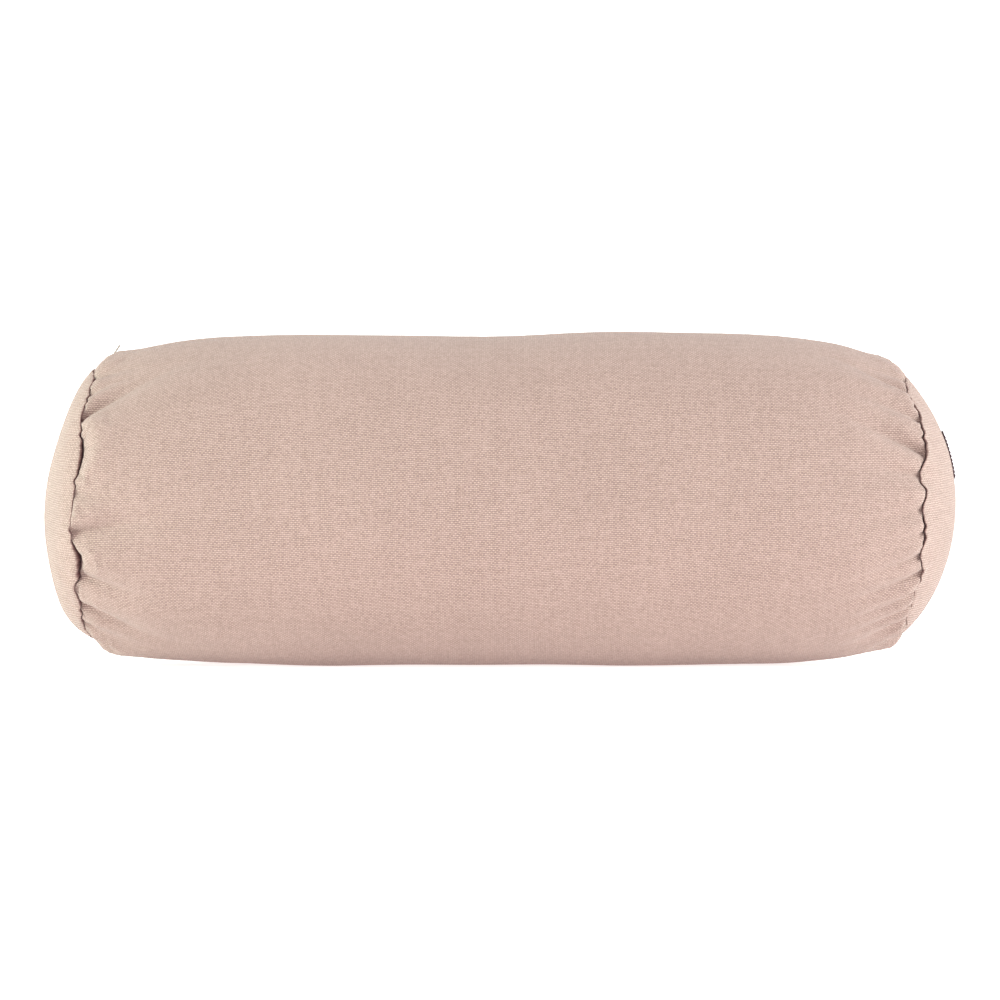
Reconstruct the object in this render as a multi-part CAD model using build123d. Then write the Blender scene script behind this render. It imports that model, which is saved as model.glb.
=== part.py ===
"""Bolster pillow: a zipped canvas cover, gathered onto domed end discs, over a fibre-filled inner pad.

Millimetres, +Z up. The roll lies along X on its flattened underside. The origin is on that underside,
below the middle of the roll. The zip runs along X in the back of the roll (+Y), a little above half height.
"""

import os

from build123d import *

# --- driving dimensions -------------------------------------------------------------------------
HALF_LENGTH = 300.0  # from the middle to the tip of an end dome
CROWN_RADIUS = 110.6  # the roll's radius at mid length
AXIS_HEIGHT = 108.8  # the roll's axis above the floor; less than the radius, so the underside is flat
DOME_RADIUS = 137.0  # the sphere that a stuffed end disc follows
SEAM_RADIUS = 88.0  # the round seam between barrel and end disc
SEAM_X = 268.0

CLOTH = 1.0  # canvas of the cover
CALICO = 0.6  # cloth of the inner pad
ALLOWANCE = 10.0  # width of cloth turned in at a round seam
THREAD = 0.5  # sewing thread
PAD_INSET = 4.5  # from the cover's outer face to the pad, which clears the slider's lower plate
FILLING_INSET = 7.0

# The shoulder of the barrel, where the gathers start.
SHOULDER_X = 258.0
SHOULDER_RADIUS = 97.0
SHOULDER_SLOPE = 19.4  # degrees below the axis direction
CORNER_SLOPE = 61.4  # degrees, where the barrel meets the seam
CROWN_HANDLE = 140.0  # how far the crown stays level
SHOULDER_HANDLE = 40.0

# The zip, a No. 5 nylon coil zip. Its own frame has the same X, with Y across the chain and Z out.
ZIP_ANGLE = 70.0  # degrees from the top of the roll towards the back
ZIP_FACE = 105.5  # the cloth beside the zip, from the roll's axis
OPENING_HALF = 200.0
SLOT_HALF_WIDTH = 5.2  # from the chain's middle to the folded cloth edge
HEM_WIDTH = 10.0
TAPE_THICKNESS = 0.6
TAPE_HALF_WIDTH = 16.0
TAPE_GAP_HALF = 1.6
COIL_HEIGHT = 2.2
COIL_HALF_WIDTH = 2.9
COIL_PLAY = 0.05
CHAIN_HALF = 192.4
STOP_LENGTH = 2.6
STOP_HALF_WIDTH = 3.2
STITCH_ROW = 7.3  # from the chain's middle to the row of stitches beside the zip
BARTACK_HALF_WIDTH = 6.0
BARTACK_LENGTH = 2.0

SLIDER_X = -186.0  # the slider's middle, when closed
SLIDER_HALF_LENGTH = 5.5
SLIDER_HALF_WIDTH = 4.2
SLIDER_PLATE = 1.2
SLIDER_WALL = 1.0
RUNNING_GAP = 0.3
DIAMOND_HALF_WIDTH = 1.2
BRIDGE_HALF_WIDTH = 1.3
BRIDGE_HALF_SPAN = 4.4
BRIDGE_LEG = 1.2
BRIDGE_CLEAR = 1.9
BRIDGE_TOP = 1.0
PIVOT_OFFSET = -1.6  # of the tab's bar from the slider's middle
PIVOT_LIFT = 0.9  # of the bar's centre above the slider's upper plate
TAB_BAR_RADIUS = 0.6
TAB_THICKNESS = 1.0
TAB_LENGTH = 22.0
TAB_HALF_WIDTH = 2.8
TAB_ARM = 1.1
TAB_WINDOW = 6.6
TAB_RIM_RADIUS = 0.8

# The woven label on the right end disc, and the blank care label inside the cover.
LABEL_THICKNESS = 0.6
LABEL_HALF_WIDTH = 25.0
LABEL_LOW = 14.0  # above the roll's axis
LABEL_HIGH = 45.0
CARE_LABEL_X = 60.0
CARE_LABEL_WIDTH = 30.0
CARE_LABEL_LENGTH = 42.0

# The end of the overlock thread chain that stands out of the left seam, behind the top of the roll.
TAIL_RADIUS = 0.45
TAIL_ROOT = (-265.6, 21.9, 88.6)  # above the roll's axis
TAIL_TIP = (-254.1, 20.0, 103.3)
TAIL_KNOT_RADIUS = 0.65

LONG = 1000.0  # longer than anything here

AXIS = Location((0, 0, AXIS_HEIGHT))
ZIP_FRAME = AXIS * Location((0, 0, 0), (-ZIP_ANGLE, 0, 0))


# --- shapes that everything is cut from -----------------------------------------------------------
def polar(length, degrees):
    """A vector of this length, this many degrees below the X direction."""
    return Vector(length, 0).rotate(Axis.Z, -degrees)


def barrel_section(inset):
    """Half section of the barrel with X along the roll and Y outwards, open at the ends to the domes."""
    crown = Vector(0, CROWN_RADIUS - inset)
    inward = polar(inset, SHOULDER_SLOPE + 90)
    shoulder = Vector(SHOULDER_X, SHOULDER_RADIUS) + inward
    corner = Vector(SEAM_X, SEAM_RADIUS) + polar(inset, CORNER_SLOPE + 90)
    curve = Bezier(
        crown,
        crown + Vector(CROWN_HANDLE, 0),
        shoulder - polar(SHOULDER_HANDLE, SHOULDER_SLOPE),
        shoulder,
    )
    turn = TangentArc(shoulder, corner, tangent=polar(1, SHOULDER_SLOPE))
    end = Vector(HALF_LENGTH + CLOTH, corner.Y)
    foot = Vector(HALF_LENGTH + CLOTH, 0)
    rest = Polyline(corner, end, foot, Vector(0, 0), crown)
    right = make_face(Wire([*curve.edges(), *turn.edges(), *rest.edges()]))
    return right + mirror(right, Plane.YZ)


def roll(inset=0.0):
    """The whole roll, set in by this much, flat underneath and along the zip."""
    dome_centre = HALF_LENGTH - DOME_RADIUS
    capsule = SlotCenterToCenter(2 * dome_centre, 2 * (DOME_RADIUS - inset))
    downwards = Rot(-90, 0, 0) * (barrel_section(inset) & capsule)
    body = revolve(downwards, Axis.X)
    half_space = Box(LONG, LONG, LONG, align=(Align.CENTER, Align.CENTER, Align.MAX))
    above_floor = Pos(0, 0, inset) * Rot(180, 0, 0) * half_space
    under_zip = Pos(0, 0, ZIP_FACE - inset) * half_space
    return (AXIS * body) & above_floor & (ZIP_FRAME * under_zip)


ROLLS = {}


def layer(outer, inner):
    """The skin between two insets of the roll."""
    for inset in (outer, inner):
        if inset not in ROLLS:
            ROLLS[inset] = roll(inset)
    return ROLLS[outer] - ROLLS[inner]


def around_axis(outer, inner=0.0):
    """A long round bar, or tube, on the roll's axis."""
    bar = Cylinder(outer, LONG)
    if inner:
        bar -= Cylinder(inner, LONG)
    return AXIS * (Rot(0, 90, 0) * bar)


def end_half(side):
    """Everything on one side of the middle: side is -1 for the left end and 1 for the right."""
    low_corner = Align.MIN if side > 0 else Align.MAX
    return Box(LONG, LONG, LONG, align=(low_corner, Align.CENTER, Align.CENTER))


def zip_box(x, across, out):
    """A box in the zip's frame, from its three ranges."""
    size = [high - low for low, high in (x, across, out)]
    centre = [(high + low) / 2 for low, high in (x, across, out)]
    return ZIP_FRAME * (Pos(*centre) * Box(*size))


# --- the cover ------------------------------------------------------------------------------------
def cover_barrel_panel():
    """The barrel's canvas with its turned-in ends, and a folded hem on each side of the zip's slot."""
    tube = layer(0, CLOTH) - around_axis(SEAM_RADIUS)
    turn = layer(0, 3 * CLOTH) & around_axis(SEAM_RADIUS + CLOTH, SEAM_RADIUS)
    turned_in = layer(2 * CLOTH, 3 * CLOTH) & around_axis(SEAM_RADIUS, SEAM_RADIUS - ALLOWANCE)
    slot = zip_box(
        (-OPENING_HALF, OPENING_HALF),
        (-SLOT_HALF_WIDTH, SLOT_HALF_WIDTH),
        (ZIP_FACE - 3 * CLOTH, ZIP_FACE + 3 * CLOTH),
    )
    panel = tube + turn + turned_in - slot
    for side in (-1, 1):
        edges = sorted((side * SLOT_HALF_WIDTH, side * (SLOT_HALF_WIDTH + HEM_WIDTH)))
        panel += zip_box((-OPENING_HALF, OPENING_HALF), edges, (ZIP_FACE - 2 * CLOTH, ZIP_FACE - CLOTH))
    return panel


def cover_end(side):
    """An end disc with its own turned-in edge."""
    disc = layer(0, CLOTH) & around_axis(SEAM_RADIUS)
    edge = layer(CLOTH, 2 * CLOTH) & around_axis(SEAM_RADIUS, SEAM_RADIUS - ALLOWANCE)
    return (disc + edge) & end_half(side)


def end_seam_thread(side):
    """The row of lockstitch inside a round seam."""
    row = SEAM_RADIUS - 2 * CLOTH
    return layer(3 * CLOTH, 3 * CLOTH + THREAD) & around_axis(row, row - THREAD) & end_half(side)


def overlock_edge(side):
    """The overlocked raw edges of a round seam."""
    raw_edge = SEAM_RADIUS - ALLOWANCE
    return layer(CLOTH, 3 * CLOTH) & around_axis(raw_edge, raw_edge - 2.4) & end_half(side)


def seam_thread_tail():
    """The end of the overlock chain that stands out of the left seam, cut off at the cover's face."""
    line = Line(TAIL_ROOT, TAIL_TIP)
    chain = sweep(Plane(line @ 0, z_dir=line % 0) * Circle(TAIL_RADIUS), line)
    tail = chain + Pos(*TAIL_TIP) * Sphere(TAIL_KNOT_RADIUS)
    return AXIS * tail - ROLLS[0]


def long_seam_thread():
    """The stitches that close the barrel's long seam beyond each end of the zip."""
    rows = [
        layer(CLOTH, CLOTH + THREAD)
        & zip_box(sorted((side * 206, side * 256)), (-THREAD / 2, THREAD / 2), (0, CROWN_RADIUS))
        for side in (-1, 1)
    ]
    return rows[0] + rows[1]


# --- the zip --------------------------------------------------------------------------------------
TAPE_TOP = ZIP_FACE - 2 * CLOTH
TAPE_BOTTOM = TAPE_TOP - TAPE_THICKNESS
COIL_TOP = TAPE_TOP + COIL_HEIGHT
PLATE_BOTTOM = COIL_TOP + RUNNING_GAP
PLATE_TOP = PLATE_BOTTOM + SLIDER_PLATE
LOWER_TOP = TAPE_BOTTOM - RUNNING_GAP


def across(side, near, far):
    """A range across the chain, on its upper (-1) or lower (1) side."""
    return sorted((side * near, side * far))


def zip_tape(side):
    x = (-OPENING_HALF - 3, OPENING_HALF + 3)
    return zip_box(x, across(side, TAPE_GAP_HALF, TAPE_HALF_WIDTH), (TAPE_BOTTOM, TAPE_TOP))


def zip_coil(side):
    """One half of the closed chain. It starts behind the slider's diamond."""
    x = (SLIDER_X - 1.2, CHAIN_HALF)
    return zip_box(x, across(side, COIL_PLAY, COIL_HALF_WIDTH), (TAPE_TOP, COIL_TOP))


def zip_top_stops():
    """The two stops at the closed end, one on each tape."""
    x = (-CHAIN_HALF - STOP_LENGTH, -CHAIN_HALF)
    stops = [zip_box(x, across(side, 1.0, STOP_HALF_WIDTH), (TAPE_TOP, COIL_TOP)) for side in (-1, 1)]
    return stops[0] + stops[1]


def zip_bottom_stop():
    x = (CHAIN_HALF, CHAIN_HALF + STOP_LENGTH)
    return zip_box(x, (-STOP_HALF_WIDTH, STOP_HALF_WIDTH), (TAPE_TOP, COIL_TOP + 0.1))


def zip_stitch_row(side):
    """The row of stitches that holds the folded cloth on the tape."""
    x = (-OPENING_HALF, OPENING_HALF)
    row = across(side, STITCH_ROW - THREAD / 2, STITCH_ROW + THREAD / 2)
    return zip_box(x, row, (ZIP_FACE, ZIP_FACE + THREAD))


def zip_bartack(side):
    """The dense stitches across one end of the opening."""
    x = across(side, OPENING_HALF + 0.4, OPENING_HALF + 0.4 + BARTACK_LENGTH)
    return zip_box(x, (-BARTACK_HALF_WIDTH, BARTACK_HALF_WIDTH), (ZIP_FACE, ZIP_FACE + THREAD))


def slider_box(x, across_range, out):
    """A box in the zip's frame, with x measured from the slider's middle."""
    return zip_box([SLIDER_X + value for value in x], across_range, out)


def zip_slider_body():
    """Two plates joined by the diamond that parts the coils, with side walls and a bridge for the tab."""
    length = (-SLIDER_HALF_LENGTH, SLIDER_HALF_LENGTH)
    width = (-SLIDER_HALF_WIDTH, SLIDER_HALF_WIDTH)
    body = slider_box(length, width, (PLATE_BOTTOM, PLATE_TOP))
    body += slider_box(length, width, (LOWER_TOP - SLIDER_PLATE, LOWER_TOP))
    upright = (Plane(ZIP_FRAME).z_dir, Plane(ZIP_FRAME).z_dir * -1)
    body = fillet(body.edges().filter_by(lambda e: e.tangent_at(0) in upright), 1.4)
    body += slider_box((-5.0, -1.6), (-DIAMOND_HALF_WIDTH, DIAMOND_HALF_WIDTH), (LOWER_TOP, PLATE_BOTTOM))
    wall_length = (-SLIDER_HALF_LENGTH + 1.4, SLIDER_HALF_LENGTH - 1.4)
    for side in (-1, 1):
        wall = across(side, SLIDER_HALF_WIDTH - SLIDER_WALL, SLIDER_HALF_WIDTH)
        body += slider_box(wall_length, wall, (TAPE_TOP + RUNNING_GAP, PLATE_BOTTOM))
    bridge_width = (-BRIDGE_HALF_WIDTH, BRIDGE_HALF_WIDTH)
    arch_under = PLATE_TOP + BRIDGE_CLEAR
    for side in (-1, 1):
        leg = across(side, BRIDGE_HALF_SPAN - BRIDGE_LEG, BRIDGE_HALF_SPAN)
        body += slider_box(leg, bridge_width, (PLATE_TOP, arch_under))
    span = (-BRIDGE_HALF_SPAN, BRIDGE_HALF_SPAN)
    return body + slider_box(span, bridge_width, (arch_under, arch_under + BRIDGE_TOP))


def zip_pull_tab():
    """The tab: a bar under the bridge, two arms beside it, and a plate with a thicker rim at its end."""
    pivot_x = SLIDER_X + PIVOT_OFFSET
    pivot_out = PLATE_TOP + PIVOT_LIFT
    flat = (pivot_out - TAB_THICKNESS / 2, pivot_out + TAB_THICKNESS / 2)
    full_width = (-TAB_HALF_WIDTH, TAB_HALF_WIDTH)
    bar = Rot(90, 0, 0) * Cylinder(TAB_BAR_RADIUS, 2 * TAB_HALF_WIDTH)
    rim = Rot(90, 0, 0) * Cylinder(TAB_RIM_RADIUS, 2 * TAB_HALF_WIDTH)
    tab = ZIP_FRAME * (Pos(pivot_x, 0, pivot_out) * bar)
    for side in (-1, 1):
        arm = across(side, TAB_HALF_WIDTH - TAB_ARM, TAB_HALF_WIDTH)
        tab += zip_box((pivot_x, pivot_x + TAB_WINDOW), arm, flat)
    tab += zip_box((pivot_x + TAB_WINDOW, pivot_x + TAB_LENGTH), full_width, flat)
    return tab + ZIP_FRAME * (Pos(pivot_x + TAB_LENGTH, 0, pivot_out) * rim)


# --- the labels -----------------------------------------------------------------------------------
def label_block(low, high, half_width_near, half_width_far):
    """A block through the right dome that the label, or its stitching, is cut with."""
    height = high - low
    blocks = [
        AXIS * Pos(HALF_LENGTH, side * (half_width_near + half_width_far) / 2, (low + high) / 2)
        * Box(HALF_LENGTH, half_width_far - half_width_near, height)
        for side in (-1, 1)
    ]
    return blocks[0] + blocks[1]


def woven_label():
    return layer(-LABEL_THICKNESS, 0) & label_block(LABEL_LOW, LABEL_HIGH, 0, LABEL_HALF_WIDTH)


def label_stitching():
    """A row of stitches down each side of the label."""
    row = LABEL_HALF_WIDTH - 2.5
    stitched = label_block(LABEL_LOW + 1, LABEL_HIGH - 1, row, row + THREAD)
    return layer(-LABEL_THICKNESS - 0.4, -LABEL_THICKNESS) & stitched


def care_label():
    """A blank fabric label, sewn under the zip's tape inside the cover."""
    x = (CARE_LABEL_X, CARE_LABEL_X + CARE_LABEL_WIDTH)
    down = (TAPE_HALF_WIDTH + 1, TAPE_HALF_WIDTH + 1 + CARE_LABEL_LENGTH)
    return layer(1.8 * CLOTH, 2.2 * CLOTH) & zip_box(x, down, (0, CROWN_RADIUS))


# --- the inner pad --------------------------------------------------------------------------------
PAD_SEAM_RADIUS = 83.0


def pad_skin():
    return layer(PAD_INSET, PAD_INSET + CALICO)


def pad_barrel_panel():
    return pad_skin() - around_axis(PAD_SEAM_RADIUS)


def pad_end(side):
    return pad_skin() & around_axis(PAD_SEAM_RADIUS) & end_half(side)


def pad_seam(side):
    """The overlocked seam allowance inside the pad, against both cloths."""
    ring = around_axis(PAD_SEAM_RADIUS + 3, PAD_SEAM_RADIUS - 3)
    return layer(PAD_INSET + CALICO, FILLING_INSET - 0.4) & ring & end_half(side)


def pad_closing_stitches():
    """The stitches that close the slit through which the pad was filled, as separate short bars."""
    first, pitch, count = -72.0, 6.0, 25
    skin = layer(PAD_INSET - THREAD, PAD_INSET)
    bars = [
        skin
        & zip_box((first + pitch * i, first + pitch * i + 3.6), (30, 30 + THREAD), (0, CROWN_RADIUS))
        for i in range(count)
    ]
    return Compound(children=[solid for bar in bars for solid in bar.solids()])


def fibre_filling():
    layer(FILLING_INSET, PAD_INSET)
    return ROLLS[FILLING_INSET]


NODES = {
    "cover_barrel_panel": cover_barrel_panel(),
    "cover_end_left": cover_end(-1),
    "cover_end_right": cover_end(1),
    "end_seam_thread_left": end_seam_thread(-1),
    "end_seam_thread_right": end_seam_thread(1),
    "overlock_edge_left": overlock_edge(-1),
    "overlock_edge_right": overlock_edge(1),
    "seam_thread_tail": seam_thread_tail(),
    "long_seam_thread": long_seam_thread(),
    "zip_tape_upper": zip_tape(-1),
    "zip_tape_lower": zip_tape(1),
    "zip_coil_upper": zip_coil(-1),
    "zip_coil_lower": zip_coil(1),
    "zip_top_stops": zip_top_stops(),
    "zip_bottom_stop": zip_bottom_stop(),
    "zip_stitch_row_upper": zip_stitch_row(-1),
    "zip_stitch_row_lower": zip_stitch_row(1),
    "zip_bartack_left": zip_bartack(-1),
    "zip_bartack_right": zip_bartack(1),
    "zip_slider_body": zip_slider_body(),
    "zip_pull_tab": zip_pull_tab(),
    "woven_label": woven_label(),
    "label_stitching": label_stitching(),
    "care_label": care_label(),
    "pad_barrel_panel": pad_barrel_panel(),
    "pad_end_left": pad_end(-1),
    "pad_end_right": pad_end(1),
    "pad_seam_left": pad_seam(-1),
    "pad_seam_right": pad_seam(1),
    "pad_closing_stitches": pad_closing_stitches(),
    "fibre_filling": fibre_filling(),
}

os.makedirs("parts", exist_ok=True)
for name, shape in NODES.items():
    export_step(shape, f"parts/{name}.step")

pivot = ZIP_FRAME * Pos(SLIDER_X + PIVOT_OFFSET, 0, PLATE_TOP + PIVOT_LIFT)
print("tab pivot, mm:", pivot.position)
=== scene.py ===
import math
from collections import namedtuple

import bmesh
import bpy
import numpy as np
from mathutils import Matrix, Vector


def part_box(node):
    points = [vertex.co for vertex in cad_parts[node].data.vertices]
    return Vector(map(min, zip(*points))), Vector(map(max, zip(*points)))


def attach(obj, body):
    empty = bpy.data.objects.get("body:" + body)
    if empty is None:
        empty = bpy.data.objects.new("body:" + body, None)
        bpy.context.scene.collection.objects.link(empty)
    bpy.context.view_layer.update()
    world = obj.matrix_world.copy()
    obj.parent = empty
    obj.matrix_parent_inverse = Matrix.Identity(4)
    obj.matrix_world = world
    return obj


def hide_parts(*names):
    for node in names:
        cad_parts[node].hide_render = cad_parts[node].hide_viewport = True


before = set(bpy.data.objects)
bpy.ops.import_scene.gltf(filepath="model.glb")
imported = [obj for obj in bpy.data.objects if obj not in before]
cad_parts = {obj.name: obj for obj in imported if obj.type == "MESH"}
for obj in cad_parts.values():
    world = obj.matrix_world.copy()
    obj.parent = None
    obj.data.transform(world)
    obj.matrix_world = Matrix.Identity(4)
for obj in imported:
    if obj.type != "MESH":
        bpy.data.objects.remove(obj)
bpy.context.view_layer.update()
mm = 0.001

# --- the roll, from the frame ---
barrel_low, barrel_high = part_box("cover_barrel_panel")
end_low, end_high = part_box("cover_end_right")
AXIS_Z = (end_low.z + end_high.z) / 2
HALF_LENGTH = end_high.x
SEAM_RADIUS = (end_high.y - end_low.y) / 2
CROWN_RADIUS = (barrel_high.y - barrel_low.y) / 2
DOME_RADIUS = 137 * mm
DOME_CENTRE = HALF_LENGTH - DOME_RADIUS
SEAM_X = DOME_CENTRE + math.sqrt(DOME_RADIUS**2 - SEAM_RADIUS**2)
PANEL_RADIUS = 107 * mm  # of the barrel's canvas before its ends are gathered

# The barrel's section: a crown curve out to the shoulder, and an arc round it to the seam.
SHOULDER_X = 258 * mm
SHOULDER_RADIUS = 97 * mm
SHOULDER_SLOPE = math.radians(19.4)
CROWN_HANDLE = 140 * mm
SHOULDER_HANDLE = 40 * mm

# The zip runs along the back. Its frame has Y across the chain and Z out of the roll.
ZIP_ANGLE = math.radians(70)
ZIP_TAPE_END = 3 * mm  # how far the tapes run on past the opening
ZIP_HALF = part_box("zip_tape_upper")[1].x - ZIP_TAPE_END
ZIP_FACE = 105.5 * mm
ZIP_OUT = np.array([0, math.sin(ZIP_ANGLE), math.cos(ZIP_ANGLE)])
CLOTH = 1 * mm

# --- the barrel's grid ---
COLUMNS = 384
SLOT_COLUMNS = 3  # each side of the zip's line
MIDDLE_ROWS = 22  # from the middle of the roll to the end of the zip
END_ROWS = 34  # from there to the seam
LIP_ROWS = 7  # of cloth that turns in at the seam
GROOVE_DEPTH = 6.5 * mm  # of the groove between barrel and disc, where the two are sewn together
ALLOWANCE = 10 * mm
LIP_ROLL = 1.5 * mm  # how roundly the cloth turns over into the groove
GROOVE_ROLL = 1.8 * mm  # and comes down on the sewn line
LIP_REACH = 9 * mm  # of the barrel's cloth that follows the wandering seam
HELD_FLAT = 0.6  # how much of a fold's depth the seam's stitches flatten
HELD_REACH = 5 * mm

# One gather where the barrel's canvas meets an end disc. angle: degrees from the top of the roll through
# the front. depth, reach: of its fold, in mm. width: of the fold, in degrees. slant: degrees that the fold
# drifts over its reach. lip: how far the barrel hangs over the disc there, in mm. gap: the seam's opening.
Tuck = namedtuple("Tuck", "angle depth width reach slant lip gap")
TUCKS = {
    -1: [
        Tuck(8, 1.0, 5, 20, 0, -1.0, 0.3),
        Tuck(26, 3.2, 4, 30, 3, -4.5, 1.3),
        Tuck(40, 3.0, 4, 30, -4, -3.5, 1.0),
        Tuck(53, 5.5, 5, 46, -13, -0.5, 0.3),
        Tuck(70, 0.8, 9, 20, 0, -3.0, 2.6),
        Tuck(87, 2.4, 5, 28, 2, 1.5, 0.6),
        Tuck(104, 5.5, 5, 46, -6, 4.5, 0.2),
        Tuck(116, 0.0, 6, 20, 0, -1.0, 4.4),
        Tuck(123, 4.5, 4, 36, 3, 0.0, 3.4),
        Tuck(130, 1.2, 4, 22, 2, 4.0, 0.2),
        Tuck(139, 4.5, 4.5, 42, 8, 1.5, 1.2),
        Tuck(152, 2.5, 4, 28, 3, 2.5, 0.3),
        Tuck(168, 1.5, 5, 20, 0, 0.0, 0.8),
    ],
    1: [
        Tuck(8, 1.0, 5, 20, 0, -1.0, 0.3),
        Tuck(24, 2.8, 4, 30, 2, -4.5, 1.2),
        Tuck(37, 4.2, 4.5, 44, -8, -5.0, 1.0),
        Tuck(54, 3.4, 4, 36, -5, 0.8, 0.9),
        Tuck(70, 5.5, 4.5, 46, -10, 2.5, 1.8),
        Tuck(80, 4.2, 4, 38, -2, -2.5, 0.9),
        Tuck(87, 0.5, 5, 20, 0, 1.3, 1.6),
        Tuck(94, 3.4, 4.5, 36, 3, -0.7, 1.2),
        Tuck(104, 2.2, 4, 30, 3, 1.3, 1.8),
        Tuck(114, 3.4, 4, 38, 4, -1.0, 0.7),
        Tuck(122, 4.0, 4, 42, 6, 1.3, 0.6),
        Tuck(131, 2.8, 2.6, 38, 6, -2.3, 0.2),
        Tuck(138, 2.6, 2.4, 38, 7, -3.5, 0.2),
        Tuck(147, 3.4, 4, 38, 8, -5.0, 0.3),
        Tuck(165, 2.0, 5, 24, 0, -3.5, 0.4),
    ],
}
CREASE = 2.0  # how much deeper every fold is pressed than its entry
BACK_TUCKS = 11  # on the half of each seam that faces away from the camera
SEED = 7
RUFFLE = 0.22 * mm
RUFFLE_WAVES = (37, 53, 71, 89)

# Broad, shallow hollows that stuffing leaves: x, degrees from the top, half sizes in mm and degrees, depth.
Hollow = namedtuple("Hollow", "x angle length width depth")
HOLLOWS = [
    Hollow(-24, 0, 62, 34, 3.4),
    Hollow(-150, 4, 70, 40, 0.9),
    Hollow(-240, 0, 28, 36, 2.6),
    Hollow(-257, 0, 15, 40, 1.8),
    Hollow(-258, 180, 20, 44, 2.6),
    Hollow(252, 0, 16, 44, 2.4),
    Hollow(251, 180, 15, 44, 2.2),
    Hollow(-120, 62, 60, 22, 0.8),
    Hollow(60, 78, 80, 20, 0.7),
    Hollow(175, 55, 50, 20, 0.8),
    Hollow(-10, 128, 90, 20, 0.8),
    Hollow(-190, 105, 40, 18, 0.7),
    Hollow(190, 120, 42, 18, 0.7),
    Hollow(90, -120, 80, 26, 1.0),
    Hollow(-110, -130, 80, 26, 1.0),
]

RIM_DIPS = {-1: 1.5 * mm, 1: 6.8 * mm}  # how much lower than a circle the top of each seam lies
RIM_DROPS = {-1: 3.4 * mm, 1: 0}  # the same for the bottom
RIM_DIP_WIDTH = 42  # degrees
RIM_DIP_REACH = 48 * mm

# Slight waves of the whole surface: count round the roll, pitch along it and height in mm, phase.
SWELLS = [(5, 170, 0.22, 0), (-7, 120, 0.18, 1), (9, -95, 0.14, 2), (-3, 230, 0.2, 4)]


def distance_along(line):
    return np.r_[0, np.cumsum(np.linalg.norm(np.diff(line, axis=0), axis=1))]


def bezier(a, b, c, d, t):
    return (1 - t) ** 3 * a + 3 * (1 - t) ** 2 * t * b + 3 * (1 - t) * t**2 * c + t**3 * d


def half_section(count=400):
    """Points (x, radius) of the barrel's section from its middle to the seam."""
    shoulder = np.array([SHOULDER_X, SHOULDER_RADIUS])
    back = SHOULDER_HANDLE * np.array([-math.cos(SHOULDER_SLOPE), math.sin(SHOULDER_SLOPE)])
    start, handle = np.array([0, CROWN_RADIUS]), np.array([CROWN_HANDLE, CROWN_RADIUS])
    crown = bezier(start, handle, shoulder + back, shoulder, np.linspace(0, 1, count)[:, None])
    drop = math.atan2(SHOULDER_RADIUS - SEAM_RADIUS, SEAM_X - SHOULDER_X)
    chord = math.hypot(SEAM_X - SHOULDER_X, SHOULDER_RADIUS - SEAM_RADIUS)
    bend = chord / 2 / math.sin(drop - SHOULDER_SLOPE)
    slope = np.linspace(SHOULDER_SLOPE, 2 * drop - SHOULDER_SLOPE, count // 8)[1:, None]
    centre = shoulder - bend * np.array([math.sin(SHOULDER_SLOPE), math.cos(SHOULDER_SLOPE)])
    return np.vstack([crown, centre + bend * np.hstack([np.sin(slope), np.cos(slope)])])


def rows_along():
    """The grid's rows from the left seam to the right one: x, radius and distance along the cloth."""
    section = half_section()
    run = distance_along(section)
    zip_end = np.interp(ZIP_HALF, section[:, 0], run)
    middle = np.linspace(0, zip_end, MIDDLE_ROWS + 1)[:-1]
    spread = np.r_[middle, np.linspace(zip_end, run[-1], END_ROWS + 1)]
    x = np.interp(spread, run, section[:, 0])
    r = np.interp(spread, run, section[:, 1])
    return tuple(np.r_[sign * half[:0:-1], half] for half, sign in ((x, -1), (r, 1), (spread, -1)))


def turn_between(a, b):
    """a - b for angles in degrees, from -180 to 180."""
    return (a - b + 180) % 360 - 180


def all_tucks(side):
    """The tucks of one end: those seen from the front, and seeded ones round the back."""
    rng = np.random.default_rng(SEED + side)
    spots = -14 - (np.arange(BACK_TUCKS) + rng.uniform(0.15, 0.85, BACK_TUCKS)) * 160 / BACK_TUCKS
    back = [
        Tuck(a, rng.uniform(1, 5), rng.uniform(3.5, 5.5), rng.uniform(20, 42), rng.uniform(-8, 8), 0, 0)
        for a in spots
    ]
    waved = [t._replace(lip=rng.uniform(-4, 3), gap=rng.uniform(0.2, 1.6)) for t in back]
    return sorted(TUCKS[side] + waved, key=lambda t: t.angle % 360)


def round_seam(side, key, angle):
    """A tuck's lip or gap, in metres, at these angles round the seam."""
    tucks = all_tucks(side)
    at = np.array([t.angle % 360 for t in tucks])
    value = np.array([getattr(t, key) for t in tucks], float)
    at = np.r_[at[-1] - 360, at, at[0] + 360]
    value = np.r_[value[-1], value, value[0]]
    near = np.clip(np.searchsorted(at, angle % 360) - 1, 0, len(at) - 2)
    t = (angle % 360 - at[near]) / (at[near + 1] - at[near])
    smooth = t * t * (3 - 2 * t)
    return mm * (value[near] * (1 - smooth) + value[near + 1] * smooth)


def fold_depth(side, from_seam, angle):
    """How far the tucks of one end sink the cloth, at a distance from the seam."""
    depth = np.zeros_like(from_seam)
    for t in all_tucks(side):
        reach = from_seam / (t.reach * mm)
        off = turn_between(angle, t.angle + t.slant * reach) / (t.width * (0.5 + 0.9 * reach))
        depth += CREASE * t.depth * mm * np.exp(-(np.abs(off) ** 1.3) - reach**1.6)
    return depth * (1 - HELD_FLAT * np.exp(-from_seam / HELD_REACH))


def lip_at(side, angle):
    """How far the sewn line of one end seam wanders out along the roll, with the ruffle of its stitches."""
    turn = np.radians(angle)
    ruffle = sum(np.sin(k * turn + 1.7 * k + side) for k in RUFFLE_WAVES)
    return round_seam(side, "lip", angle) + RUFFLE * ruffle


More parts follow.
